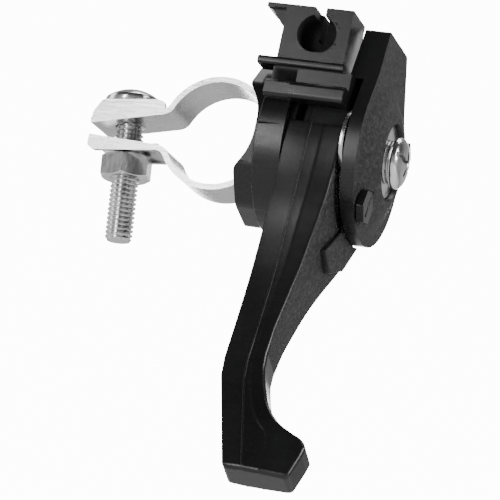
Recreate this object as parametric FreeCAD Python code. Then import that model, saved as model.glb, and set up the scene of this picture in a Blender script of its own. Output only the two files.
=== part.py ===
import FreeCAD, Part
import math
import os

from FreeCAD import Vector

# Bicycle thumb shifter, friction type, for a 22.2 mm handlebar.  Millimetres.
# Frame: the origin is the centre of the handlebar bore, half-way along the band.
# +Y runs along the handlebar, +X is the lever's pivot axis pointing away from the
# bar, and +Z is up, with the cable stop on top and the lever hanging down.

# ---- driving dimensions ----------------------------------------------------
BAR_R = 11.1                # handlebar radius
BAND_T = 1.2                # clamp strip thickness
BAND_W = 11.6               # clamp strip width, along Y
BAND_R = BAR_R + BAND_T     # outside of the closed loop
UPPER_EAR = ((-11.7, 2.7), (-28.5, -1.3))    # inner line, loop end and outer end, (x, z)
LOWER_EAR = ((-11.4, -4.2), (-28.3, -3.7))
EAR_CORNER_R = 2.5          # rounding of the ears' outer corners

BOLT_R = 3.0                # M6 clamp bolt
BOLT_HEAD_R = 6.0
BOLT_HEAD_H = 3.6
BOLT_LENGTH = 29.8          # under the head
BOLT_LEAN = 6.7             # degrees, top towards the ears' outer end
BOLT_SEAT = (-21.9, 4.8)    # under the head, on the folded edges of the upper ear
NUT_DEPTH = 11.2            # from under the head to the top of the nut
NUT_FLATS = 10.0            # M6 hexagon nut
NUT_H = 5.0
NUT_TURN = 10.0             # where the nut's flats came to rest, degrees

DISC_R = 18.3               # round body of the base
SADDLE_X = 8.6              # inner faces of the saddle wings
WING_X = 12.6               # wings end and the round disc starts
SEAM_X = 18.6               # face of the base that the lever turns against
WING_SIDES = 12

HUB_GAP = 0.1               # running gap beside each turning face
HUB_R = 16.6                # lever hub
HUB_X1 = 30.3               # outer face of the lever hub
DRUM_X1 = 22.9              # outer face of the cable drum
DRUM_R = 16.3
GROOVE_X = 20.8             # middle of the cable groove, in line with the stop
GROOVE_W = 2.0
GROOVE_R = 13.6
SPIGOT_R = 8.0              # lever spigot that carries the drum
BUSH_R = 5.5                # lever bush, outside
STUD_R = 4.0                # pivot stud shank
STUD_CLEARANCE = 0.05       # radial running clearance on the stud
STUD_HEAD_X = 9.8           # countersunk head, under the handlebar
STUD_HEAD_R = 5.4
STUD_END_X = 35.0
STUD_FLATS = 6.4            # across the flats that key the pressure plate
SCREW_R = 2.5               # M5 adjusting screw
SCREW_END_X = 30.4
INNER_WASHER_R = 8.6
FRICTION_R = 13.0           # outer friction disc
PLATE_T = 0.8               # pressure plate: thickness, radius, and its lobe
PLATE_R = 15.2
LOBE_R = 7.1
LOBE_OFFSET = 11.0          # towards -Y

LEVER_SWING = 23.0          # lever leans this far towards -Y from straight down
LEVER_END = 78.5            # pivot to the tip
LEVER_BEND = 57.0           # pivot to the outward bend
LUG_TOP = (30.95, 31.95)    # the lug's top slopes outwards from its near end to its far end
TRAVEL = (-20.0, 90.0)      # lever travel about +X, from rest
STOP_PIN_R = 1.5
STOP_TRACK_R = 10.8         # radius of the stop pin's track in the drum

COVER_X0 = 31.7             # cover plate, inner and outer faces of its rim
COVER_X1 = 34.5
COVER_R = 18.1
COVER_CROWN_X = 37.3        # top of the low cone round the screw
COVER_RECESS_R = 8.0
NECK_TOP = 25.4             # top of the cover's neck
NECK_FOOT = (28.7, 13.0)    # inner face of the neck slopes from here to its top, (x, z)
NECK_TOP_X0 = 28.3
NECK_HALF = 8.0
RECESS_X = 35.3             # floor of the recess round the screw
WASHER_T = 1.0
LOCK_WASHER_T = 1.3
SCREW_HEAD_R = 5.4
SCREW_FACE_X = 40.4
PEG_PLACE = (-8.5, -12.0)   # the two six-sided pegs on the cover, (y, z)
UPPER_PEG_PLACE = (13.2, 4.7)
PEG_SHANK_R = 2.0
PEG_FLATS = 6.0
PEG_TOP_X = 36.7

BLOCK_X = (13.6, 27.8)      # cable stop block
BLOCK_Y = (-17.0, -7.3)
BLOCK_TOP = 26.1
LEDGE_X = (9.9, 28.2)       # lip below the block
LEDGE_Z = (12.8, 14.5)
LEDGE_FRONT = -18.0
SHELF_FRONT = -20.3         # rounded shelf below the lip
SHELF_Z = (5.6, 9.2)
NECK_FRONT = -16.8          # face between lip and shelf
HOUSING_R = 4.05            # socket for the cable housing
HOUSING_Z = 20.5
SOCKET_DEPTH = 5.2
CABLE_R = 0.75              # hole and slot for the inner cable, behind the socket
CABLE_SLOT_W = 1.3
SLOT_W = 2.4                # slot from the socket up through the top of the block

OUT = "parts"
X_AXIS = Vector(1, 0, 0)
Y_AXIS = Vector(0, 1, 0)
Z_AXIS = Vector(0, 0, 1)


# ---- small helpers ---------------------------------------------------------
def cyl_x(x0, x1, radius, y=0.0, z=0.0):
    """Cylinder along X."""
    return Part.makeCylinder(radius, x1 - x0, Vector(x0, y, z), X_AXIS)


def cone_x(x0, x1, r0, r1):
    return Part.makeCone(r0, r1, x1 - x0, Vector(x0, 0, 0), X_AXIS)


def cyl_y(y0, y1, radius, x=0.0, z=0.0):
    """Cylinder along Y."""
    return Part.makeCylinder(radius, y1 - y0, Vector(x, y0, z), Y_AXIS)


def ring_x(x0, x1, outer, inner):
    return cyl_x(x0, x1, outer).cut(cyl_x(x0 - 1, x1 + 1, inner))


def box(xs, ys, zs):
    return Part.makeBox(xs[1] - xs[0], ys[1] - ys[0], zs[1] - zs[0], Vector(xs[0], ys[0], zs[0]))


def prism_yz(points, x0, x1):
    """Closed outline in the YZ plane, extruded along X."""
    wire = Part.makePolygon([Vector(x0, y, z) for y, z in points + points[:1]])
    return Part.Face(wire).extrude(Vector(x1 - x0, 0, 0))


def prism_xz(points, y0, y1):
    """Closed outline in the XZ plane, extruded along Y."""
    wire = Part.makePolygon([Vector(x, y0, z) for x, z in points + points[:1]])
    return Part.Face(wire).extrude(Vector(0, y1 - y0, 0))


def smooth_wire(curve_points, closing_points):
    """A curve through the first points, closed by straight lines through the others."""
    spline = Part.BSplineCurve()
    spline.interpolate(curve_points)
    corners = [curve_points[-1]] + closing_points + [curve_points[0]]
    lines = [Part.LineSegment(a, b).toShape() for a, b in zip(corners, corners[1:])]
    return Part.Wire([spline.toShape()] + lines)


def swung(shape, degrees=-LEVER_SWING):
    """Turn a shape built for a lever pointing straight down to the rest position."""
    shape = shape.copy()
    shape.rotate(Vector(0, 0, 0), X_AXIS, degrees)
    return shape


def hexagon_prism(flats, height):
    corner = flats / math.sqrt(3.0)
    points = [Vector(corner * math.cos(math.radians(60 * i + 30)),
                     corner * math.sin(math.radians(60 * i + 30)), 0) for i in range(7)]
    return Part.Face(Part.makePolygon(points)).extrude(Vector(0, 0, height))


def biggest(shape):
    return max(shape.Solids, key=lambda solid: solid.Volume)


def save(name, shape):
    shape = shape.removeSplitter()
    shape.exportStep(os.path.join(OUT, name + ".step"))
    print("%-22s solids %d  volume %9.2f  valid %s"
          % (name, len(shape.Solids), shape.Volume, shape.isValid()))


# ---- clamp -----------------------------------------------------------------
def ear_plate(line, side):
    """Flat ear: a strip from the loop to its outer end, with rounded outer corners."""
    (xi, zi), (xo, zo) = line
    half = BAND_W / 2.0
    thick = side * BAND_T
    strip = prism_xz([(xi, zi), (xo, zo), (xo, zo + thick), (xi, zi + thick)], -half, half)
    corner = EAR_CORNER_R
    rounded = box((xo + corner, xi + 1), (-half, half), (-20, 20))
    rounded = rounded.fuse(box((xo - 1, xo + corner), (-half + corner, half - corner), (-20, 20)))
    for y in (-half + corner, half - corner):
        rounded = rounded.fuse(Part.makeCylinder(corner, 40, Vector(xo + corner, y, -20), Z_AXIS))
    return strip.common(rounded)


def seat_line(x, depth):
    """Height at x of the plane across the bolt, at a depth below its head."""
    lean = math.radians(BOLT_LEAN)
    x0 = BOLT_SEAT[0] + depth * math.sin(lean)
    z0 = BOLT_SEAT[1] - depth * math.cos(lean)
    return z0 + (x - x0) * math.tan(lean)


def folded_edges(line, side):
    """The two long edges of an ear, folded outwards to carry the head or the nut."""
    (xi, zi), (xo, zo) = line
    depth = 0.02 if side > 0 else NUT_DEPTH - 0.02
    loop_x = -11.2
    loop_z = side * math.sqrt(BAND_R ** 2 - loop_x ** 2)
    outline = [(xi, zi), (xo + 0.6, zo), (xo + 0.6, zo + side * 2.4), (xo + 2.2, seat_line(xo + 2.2, depth)),
               (-16.5, seat_line(-16.5, depth)), (-13.4, loop_z + side * 0.5), (loop_x, loop_z)]
    half = BAND_W / 2.0
    edges = prism_xz(outline, -half, half)
    return edges.cut(box((-40, 0), (-half + BAND_T, half - BAND_T), (-20, 20)))


def clamp_band():
    half = BAND_W / 2.0
    loop = cyl_y(-half, half, BAND_R).cut(cyl_y(-half - 1, half + 1, BAR_R))
    mouth = box((-BAND_R - 1, -5), (-half - 1, half + 1), (LOWER_EAR[0][1], UPPER_EAR[0][1]))
    shape = loop.cut(mouth)
    for line, side in ((UPPER_EAR, 1), (LOWER_EAR, -1)):
        shape = shape.fuse(ear_plate(line, side)).fuse(folded_edges(line, side))
    shape = shape.cut(cyl_y(-half - 1, half + 1, BAR_R))
    shape = shape.cut(on_bolt(Part.makeCylinder(BOLT_R + 0.3, 40, Vector(0, 0, -30), Z_AXIS)))
    shape = shape.cut(stud_head())
    return biggest(shape)


# ---- clamp bolt and nut ----------------------------------------------------
def on_bolt(shape):
    """Place a shape built along +Z, with its origin under the bolt head."""
    shape = shape.copy()
    shape.rotate(Vector(0, 0, 0), Y_AXIS, -BOLT_LEAN)
    shape.translate(Vector(BOLT_SEAT[0], 0, BOLT_SEAT[1]))
    return shape


def clamp_bolt():
    shank = Part.makeCylinder(BOLT_R, BOLT_LENGTH - 0.8, Vector(0, 0, -BOLT_LENGTH + 0.8), Z_AXIS)
    tip = Part.makeCone(BOLT_R - 0.8, BOLT_R, 0.8, Vector(0, 0, -BOLT_LENGTH), Z_AXIS)
    head = Part.makeCylinder(BOLT_HEAD_R, BOLT_HEAD_H, Vector(0, 0, 0), Z_AXIS)
    head = head.common(Part.makeSphere(9.2, Vector(0, 0, BOLT_HEAD_H - 9.2)))
    for angle in (20, 110):
        arm = box((-3.2, 3.2), (-0.65, 0.65), (BOLT_HEAD_H - 1.9, BOLT_HEAD_H + 1))
        arm.rotate(Vector(0, 0, 0), Z_AXIS, angle)
        head = head.cut(arm)
    return on_bolt(shank.fuse(tip).fuse(head))


def clamp_nut():
    nut = hexagon_prism(NUT_FLATS, NUT_H)
    corner = NUT_FLATS / math.sqrt(3.0)
    chamfer = Part.makeCone(corner - 1.0, corner + 1.2, 1.3, Vector(0, 0, 0), Z_AXIS)
    top_chamfer = Part.makeCone(corner + 1.2, corner - 1.0, 1.3, Vector(0, 0, NUT_H - 1.3), Z_AXIS)
    barrel = Part.makeCylinder(corner + 1.2, NUT_H - 2.6, Vector(0, 0, 1.3), Z_AXIS)
    nut = nut.common(chamfer.fuse(barrel).fuse(top_chamfer))
    nut = nut.cut(Part.makeCylinder(BOLT_R + 0.05, NUT_H + 2, Vector(0, 0, -1), Z_AXIS))
    nut.rotate(Vector(0, 0, 0), Z_AXIS, NUT_TURN)
    nut.translate(Vector(0, 0, -NUT_DEPTH - NUT_H))
    return on_bolt(nut)


# ---- base ------------------------------------------------------------------
def shelf_outline():
    """Side view of the shelf and the face above it, in (y, z)."""
    z0, z1 = SHELF_Z
    return [(SHELF_FRONT + 0.5, z0), (SHELF_FRONT, z0 + 0.6), (SHELF_FRONT, z1 - 0.7),
            (SHELF_FRONT + 0.7, z1), (NECK_FRONT, z1), (NECK_FRONT, LEDGE_Z[0]),
            (BLOCK_Y[1], LEDGE_Z[0]), (BLOCK_Y[1], z0)]


def stop_pin_place():
    """Centre of the stop pin in (y, z): it meets the track's end at the travel limits."""
    return 0.0, STOP_TRACK_R


def base_housing():
    corners = [(18.4 * math.cos(math.radians(360.0 / WING_SIDES * i)),
                18.4 * math.sin(math.radians(360.0 / WING_SIDES * i))) for i in range(WING_SIDES)]
    shape = prism_yz(corners, SADDLE_X, WING_X)
    shape = shape.fuse(cyl_x(WING_X, SEAM_X, DISC_R))
    shape = shape.fuse(prism_yz(shelf_outline(), WING_X, SEAM_X))
    shape = shape.cut(cyl_y(-30, 30, BAND_R))
    shape = shape.cut(cyl_x(SADDLE_X - 1, SEAM_X + 1, STUD_R))
    shape = shape.cut(stud_head())
    shape = shape.cut(ring_x(SEAM_X - 1.0, SEAM_X + 1, INNER_WASHER_R, STUD_R - 1))
    y, z = stop_pin_place()
    shape = shape.cut(cyl_x(SEAM_X - 4.0, SEAM_X + 1, STOP_PIN_R, y, z))
    shape = shape.cut(bridge_tongue())
    return biggest(shape)


# ---- pivot stud ------------------------------------------------------------
def stud_head():
    """Countersunk head, hollowed so that it lies flush with the handlebar bore."""
    head = cone_x(STUD_HEAD_X, WING_X, STUD_HEAD_R, STUD_R)
    return head.cut(cyl_y(-30, 30, BAR_R))


def pivot_stud():
    shape = stud_head().fuse(cyl_x(WING_X, STUD_END_X, STUD_R))
    flats = box((HUB_X1 + 0.2, STUD_END_X + 1), (-10, 10), (STUD_FLATS / 2, 10))
    shape = shape.cut(flats).cut(flats.mirror(Vector(0, 0, 0), Z_AXIS))
    return shape.cut(cyl_x(SCREW_END_X - 1.5, STUD_END_X + 1, SCREW_R + STUD_CLEARANCE))


def stop_pin():
    y, z = stop_pin_place()
    return cyl_x(SEAM_X - 4.0, SEAM_X + 1.5, STOP_PIN_R, y, z)


def inner_washer():
    return ring_x(SEAM_X - 1.0, SEAM_X - 0.45, INNER_WASHER_R - 0.1, STUD_R)


def inner_friction_disc():
    return ring_x(SEAM_X - 0.45, SEAM_X + HUB_GAP - 0.02, INNER_WASHER_R - 0.3, STUD_R)


# ---- cable stop bridge -----------------------------------------------------
def bridge_tongue():
    """Tongue under the block that sits in a slot in the base."""
    return box((SEAM_X - 3.5, SEAM_X), (-15.0, -9.0), (8.2, LEDGE_Z[0] + 0.5))


def cable_stop_bridge():
    top = BLOCK_TOP
    shape = box(BLOCK_X, BLOCK_Y, (LEDGE_Z[1] - 0.5, top))
    shape = shape.fuse(box(LEDGE_X, (LEDGE_FRONT, BLOCK_Y[1]), LEDGE_Z))
    shape = shape.fuse(prism_yz(shelf_outline(), SEAM_X, HUB_X1 - 0.3))
    fin = prism_xz([(9.3, top), (9.3, top - 0.9), (10.3, top - 1.2), (12.6, top - 4.0),
                    (BLOCK_X[0] + 1, top - 4.2), (BLOCK_X[0] + 1, top)], -15.8, -12.6)
    shape = shape.fuse(fin)
    shape = shape.fuse(box((9.3, BLOCK_X[0] + 1), (BLOCK_Y[0], -9.0), (top - 0.9, top)))
    shape = shape.cut(cyl_x(SADDLE_X - 5, SEAM_X, DISC_R + 0.02))
    shape = shape.cut(cyl_x(SEAM_X - 0.01, 40, 17.2))
    shape = shape.cut(box((0, SEAM_X), (-30, -0.1), (-5, LEDGE_Z[0])))
    shape = shape.fuse(bridge_tongue())
    y0, y1 = BLOCK_Y
    x_mid = GROOVE_X
    shape = shape.cut(cyl_y(y0 - 5, y0 + SOCKET_DEPTH, HOUSING_R, x_mid, HOUSING_Z))
    shape = shape.cut(cyl_y(y0, y1 + 1, CABLE_R, x_mid, HOUSING_Z))
    for width, y_end in ((SLOT_W, y0 + SOCKET_DEPTH), (CABLE_SLOT_W, y1 + 1)):
        shape = shape.cut(box((x_mid - width / 2, x_mid + width / 2), (y0 - 5, y_end),
                              (HOUSING_Z, top + 1)))
    return biggest(shape)


# ---- lever -----------------------------------------------------------------
def lever_plan():
    """Arm seen along the pivot axis: (distance along the arm, half width)."""
    return [(4.6, 16.3), (8.0, 15.4), (14.0, 13.4), (21.0, 11.3), (28.0, 9.0), (36.0, 7.0),
            (45.0, 5.6), (56.0, 4.4), (66.0, 4.0), (LEVER_END, 3.8)]


def arm_plan_solid():
    edge = [Vector(0, -w, -t) for t, w in lever_plan()]
    other = [Vector(0, w, -t) for t, w in reversed(lever_plan())]
    near, far = Part.BSplineCurve(), Part.BSplineCurve()
    near.interpolate(edge)
    far.interpolate(other)
    wire = Part.Wire([near.toShape(), Part.LineSegment(edge[-1], other[0]).toShape(),
                      far.toShape(), Part.LineSegment(other[-1], edge[0]).toShape()])
    return Part.Face(wire).extrude(Vector(60, 0, 0))


def arm_side_solid():
    """Arm seen along Y: straight root, outward bend and thumb hook, in (x, along arm)."""
    x0 = SEAM_X + HUB_GAP
    hook = [(27.0, 53.0), (28.0, 58.0), (30.2, 63.6), (33.6, 67.3), (38.8, 69.7)]
    right = [(HUB_X1 + 0.5, 0.0), (HUB_X1 + 0.5, 18.0), (29.4, 28.5), (28.1, 38.0), (27.1, 47.0)]
    tip = [(40.2, 71.6), (38.6, LEVER_END), (x0 + 7.0, LEVER_END), (x0, LEVER_BEND), (x0, 0.0)]
    curve = [Vector(x, -30, -t) for x, t in right[1:] + hook]
    wire = smooth_wire(curve, [Vector(x, -30, -t) for x, t in tip + right[:1]])
    return Part.Face(wire).extrude(Vector(0, 60, 0))


def lever_stop_lug():
    """Raised pad on the outer face, just outside the cover's rim."""
    points = [(-5.0, -16.0), (-13.0, -23.0), (-7.5, -26.5), (-1.5, -24.5), (5.5, -18.2), (5.5, -12.0)]
    pad = prism_yz(points, HUB_X1 - 2.5, COVER_X0 + 0.3)
    near, far = LUG_TOP
    above = [(near, -20.0), (near, -13.0), (far, -1.5), (far, 8.0), (far + 4, 8.0), (far + 4, -20.0), (near, -20.0)]
    slope = Part.makePolygon([Vector(x, y, -30.0) for x, y in above])
    pad = pad.cut(Part.Face(slope).extrude(Vector(0, 0, 25)))
    return pad.cut(cyl_x(HUB_X1 - 3, COVER_X1, COVER_R + 0.4))


def lever():
    arm = arm_plan_solid().common(arm_side_solid())
    arm = arm.cut(cyl_x(SEAM_X, DRUM_X1 + HUB_GAP, DRUM_R + 0.1))
    arm = arm.cut(cyl_x(HUB_X1, COVER_X0 + 1, COVER_R + 0.4))
    shape = arm.fuse(cyl_x(DRUM_X1 + HUB_GAP, HUB_X1, HUB_R))
    shape = shape.fuse(cyl_x(SEAM_X + HUB_GAP + 0.1, DRUM_X1 + 1, SPIGOT_R))
    for angle in (30, 210):
        shape = shape.fuse(drum_key(angle, 0.0))
    shape = shape.cut(cyl_x(SEAM_X - 1, HUB_X1 + 1, BUSH_R))
    shape = shape.cut(ring_x(HUB_X1 - 0.9, HUB_X1 + 0.1, FRICTION_R + 0.1, BUSH_R - 1))
    shape = swung(shape).fuse(lever_stop_lug().common(swung(arm_plan_solid())))
    return biggest(shape)


def drum_key(angle, clearance):
    key = box((SEAM_X + HUB_GAP + 0.1, DRUM_X1 + 1), (-1.5 - clearance, 1.5 + clearance),
              (0, SPIGOT_R + 1.2 + clearance))
    key.rotate(Vector(0, 0, 0), X_AXIS, angle)
    return key


def lever_bush():
    return ring_x(SEAM_X + HUB_GAP + 0.1, HUB_X1 - 0.95, BUSH_R, STUD_R + STUD_CLEARANCE)


def cable_drum():
    x0 = SEAM_X + HUB_GAP
    shape = ring_x(x0, DRUM_X1, DRUM_R, SPIGOT_R)
    shape = shape.cut(ring_x(GROOVE_X - GROOVE_W / 2, GROOVE_X + GROOVE_W / 2, DRUM_R + 1, GROOVE_R))
    for angle in (30, 210):
        shape = shape.cut(drum_key(angle, 0.0))
    nipple = cyl_x(GROOVE_X - 1.2, DRUM_X1 + 1, 2.1)
    nipple.translate(Vector(0, 0, -13.0))
    nipple.rotate(Vector(0, 0, 0), X_AXIS, -20)
    shape = swung(shape.cut(nipple))
    return shape.cut(stop_track())


def stop_track():
    """Curved track in the drum's inner face; the fixed pin meets its ends."""
    low, high = TRAVEL
    track = ring_x(SEAM_X, SEAM_X + 1.7, STOP_TRACK_R + STOP_PIN_R + 0.15,
                   STOP_TRACK_R - STOP_PIN_R - 0.15)
    start, end = 90.0 - high - 0.4, 90.0 - low + 0.4
    sector = Part.makeCylinder(30, 3, Vector(SEAM_X - 0.5, 0, 0), X_AXIS, end - start)
    sector.rotate(Vector(0, 0, 0), X_AXIS, start - sector_start_angle())
    track = track.common(sector)
    for angle in (start, end):
        y = STOP_TRACK_R * math.cos(math.radians(angle))
        z = STOP_TRACK_R * math.sin(math.radians(angle))
        track = track.fuse(cyl_x(SEAM_X, SEAM_X + 1.7, STOP_PIN_R + 0.15, y, z))
    return track


def sector_start_angle():
    """Angle from +Y towards +Z at which an X-axis partial cylinder starts."""
    probe = Part.makeCylinder(10, 1, Vector(0, 0, 0), X_AXIS, 10)
    centre = probe.CenterOfMass
    return math.degrees(math.atan2(centre.z, centre.y)) - 5.0


# ---- friction stack and cover ---------------------------------------------
def outer_friction_disc():
    return ring_x(HUB_X1 - 0.85, HUB_X1 + 0.15, FRICTION_R, STUD_R + 0.1)


def pressure_plate():
    """Steel plate keyed to the stud's flats."""
    x0, x1 = HUB_X1 + 0.2, HUB_X1 + 0.2 + PLATE_T
    plate = cyl_x(x0, x1, PLATE_R).fuse(cyl_x(x0, x1, LOBE_R, -LOBE_OFFSET))
    hole = cyl_x(HUB_X1 - 1, HUB_X1 + 3, STUD_R).common(
        box((HUB_X1 - 1, HUB_X1 + 3), (-10, 10), (-STUD_FLATS / 2, STUD_FLATS / 2)))
    return plate.cut(hole)


def wave_washer():
    """Spring under the cover, as thin as it is when pressed flat."""
    x0 = HUB_X1 + 0.2 + PLATE_T
    return ring_x(x0, x0 + 0.4, 7.5, STUD_R + 0.2)


def tangent_point(y, z, radius):
    """Where the straight side from (y, z) meets the round rim, on the -Y side."""
    angle = math.atan2(z, y) + math.acos(radius / math.hypot(y, z))
    return radius * math.cos(angle), radius * math.sin(angle)


def cover_outline_solid(x0, x1):
    disc = cyl_x(x0, x1, COVER_R)
    neck = prism_yz([(-NECK_HALF, NECK_TOP), tangent_point(-NECK_HALF, NECK_TOP, COVER_R), (15.0, 10.1),
                     (11.5, 14.0), (NECK_HALF, NECK_TOP)], x0, x1)
    return disc.fuse(neck)


def cover_plate():
    shape = cover_outline_solid(COVER_X0, COVER_X1)
    foot = prism_xz([(COVER_X0 + 1, NECK_FOOT[1]), NECK_FOOT, (NECK_TOP_X0, NECK_TOP),
                     (COVER_X0 + 1, NECK_TOP)], -COVER_R, COVER_R)
    foot = foot.cut(cyl_x(NECK_TOP_X0 - 1, HUB_X1 + 1.1, HUB_R + 0.6))
    outline = cover_outline_solid(NECK_TOP_X0 - 1, COVER_X1)
    shape = shape.fuse(foot.common(outline))
    shape = shape.fuse(cone_x(COVER_X1, COVER_CROWN_X, 15.5, 9.2))
    taper = prism_xz([(COVER_X1 + 5, 14.0), (COVER_X1, 14.0), (COVER_X1 - 0.9, NECK_TOP + 1),
                      (COVER_X1 + 5, NECK_TOP + 1)], -20, 20).cut(cyl_x(30, 60, 15.6))
    shape = shape.cut(taper)
    shape = shape.cut(cyl_x(RECESS_X, COVER_CROWN_X + 1, COVER_RECESS_R))
    shape = shape.cut(cyl_x(30, 45, STUD_R + 0.1))
    shape = shape.cut(ring_x(COVER_X0 - 1, COVER_X0 + 0.1, 8.2, 1.0))
    return biggest(shape.cut(cover_peg()).cut(cover_peg_upper()))


def slotted_peg(place, turn):
    """Six-sided head with a slit, on a round shank through the cover."""
    head = hexagon_prism(PEG_FLATS, PEG_TOP_X - COVER_X1 - 0.3)
    head.rotate(Vector(0, 0, 0), Z_AXIS, turn)
    slit = box((-2.2, 2.2), (-0.3, 0.3), (PEG_TOP_X - COVER_X1 - 1.0, PEG_TOP_X))
    head = head.cut(slit)
    head.rotate(Vector(0, 0, 0), Y_AXIS, 90)
    y, z = place
    head.translate(Vector(COVER_X1 + 0.3, y, z))
    return head.fuse(cyl_x(COVER_X0, COVER_X1 + 0.5, PEG_SHANK_R, y, z))


def cover_peg():
    return slotted_peg(PEG_PLACE, 10.0)


def cover_peg_upper():
    return slotted_peg(UPPER_PEG_PLACE, 15.0)


def cover_washer():
    return ring_x(RECESS_X, RECESS_X + WASHER_T, COVER_RECESS_R - 0.2, SCREW_R + 0.2)


def lock_washer():
    """Split spring washer under the screw head."""
    x0 = RECESS_X + WASHER_T
    ring = ring_x(x0, x0 + LOCK_WASHER_T, 4.6, SCREW_R + 0.15)
    split = box((x0 - 1, x0 + 3), (-0.4, 0.4), (0, 8))
    split.rotate(Vector(x0 + LOCK_WASHER_T / 2, 0, 0), Z_AXIS, 25)
    return ring.cut(split)


def adjusting_screw():
    seat = RECESS_X + WASHER_T + LOCK_WASHER_T + 0.02
    head = cyl_x(seat, SCREW_FACE_X, SCREW_HEAD_R)
    head = head.common(Part.makeSphere(9.0, Vector(SCREW_FACE_X - 9.0, 0, 0)))
    shape = head.fuse(cyl_x(SCREW_END_X, seat + 0.1, SCREW_R))
    for angle in (0, 90):
        arm = box((SCREW_FACE_X - 1.8, SCREW_FACE_X + 1), (-3.2, 3.2), (-0.6, 0.6))
        arm.rotate(Vector(0, 0, 0), X_AXIS, angle + 12)
        shape = shape.cut(arm)
    return shape


NODES = {
    "clamp_band": clamp_band,
    "clamp_bolt": clamp_bolt,
    "clamp_nut": clamp_nut,
    "base_housing": base_housing,
    "cable_stop_bridge": cable_stop_bridge,
    "pivot_stud": pivot_stud,
    "stop_pin": stop_pin,
    "inner_washer": inner_washer,
    "inner_friction_disc": inner_friction_disc,
    "cable_drum": cable_drum,
    "lever": lever,
    "lever_bush": lever_bush,
    "outer_friction_disc": outer_friction_disc,
    "pressure_plate": pressure_plate,
    "wave_washer": wave_washer,
    "cover_plate": cover_plate,
    "cover_peg": cover_peg,
    "cover_peg_upper": cover_peg_upper,
    "cover_washer": cover_washer,
    "lock_washer": lock_washer,
    "adjusting_screw": adjusting_screw,
}

os.makedirs(OUT, exist_ok=True)
for node_name, make in NODES.items():
    save(node_name, make())
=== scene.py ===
import math

import bmesh
import bpy
from mathutils import Matrix, Vector


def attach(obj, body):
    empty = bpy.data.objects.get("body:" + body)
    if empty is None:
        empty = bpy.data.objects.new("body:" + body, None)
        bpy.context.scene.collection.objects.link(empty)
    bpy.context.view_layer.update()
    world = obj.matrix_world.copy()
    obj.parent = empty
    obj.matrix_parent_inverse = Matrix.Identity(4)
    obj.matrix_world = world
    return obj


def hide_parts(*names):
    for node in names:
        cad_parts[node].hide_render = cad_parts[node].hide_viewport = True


# Thumb shifter. Pieces are drawn in millimetres in the CAD frame and scaled to metres at
# the end: the handlebar runs along Y through the origin, the lever turns about X, Z is up.
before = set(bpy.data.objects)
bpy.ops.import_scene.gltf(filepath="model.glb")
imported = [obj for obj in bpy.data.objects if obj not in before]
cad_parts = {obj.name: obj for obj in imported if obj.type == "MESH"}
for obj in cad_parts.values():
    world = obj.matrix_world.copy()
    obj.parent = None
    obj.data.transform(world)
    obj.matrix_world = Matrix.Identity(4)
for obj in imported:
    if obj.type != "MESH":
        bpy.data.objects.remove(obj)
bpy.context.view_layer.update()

MM = 0.001
SWING = math.radians(23.0)     # the lever's lean at rest
LEAN = math.radians(6.7)       # the clamp bolt's lean
BOLT_SEAT = Vector((-21.9, 0.0, 4.8))
BOLT_PLACE = Matrix.Translation(BOLT_SEAT) @ Matrix.Rotation(-LEAN, 4, "Y")

# Dimensions that several pieces share, in millimetres. Names with X are places along the pivot axis.
ROUND = 128                    # segments of a large turned shape
BAR_R, BAND_T, BAND_HALF = 11.1, 1.2, 5.8
LOOP_R = 12.3                  # outside of the clamp loop
UPPER_EAR = ((-11.7, 2.7), (-28.5, -1.3))      # loop end and outer end, (x, z)
LOWER_EAR = ((-11.4, -4.2), (-28.3, -3.7))
WING_R, WING_X = 17.7, 12.6    # wings of the base, and where its disc starts
SOCKET = Vector((20.8, 20.5))  # axis of the cable stop's socket, (x, z)
HUB_R, HUB_X0, HUB_X1 = 16.6, 23.0, 30.3
COVER_R, COVER_X0, COVER_X1 = 18.1, 31.7, 34.5
NECK_TOP, NECK_HALF = 25.4, 8.0
PEGS = [("slotted_peg", "cover_peg", (-8.5, -12.0), 10),
        ("slotted_peg_upper", "cover_peg_upper", (13.2, 4.7), 15)]
PLATE_X = (30.51, 31.29)


# ---------------------------------------------------------------- materials
def set_range(node, low, high, to_low, to_high):
    """Set a Map Range node's four limits."""
    for key, number in (("From Min", low), ("From Max", high), ("To Min", to_low), ("To Max", to_high)):
        node.inputs[key].default_value = number


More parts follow.
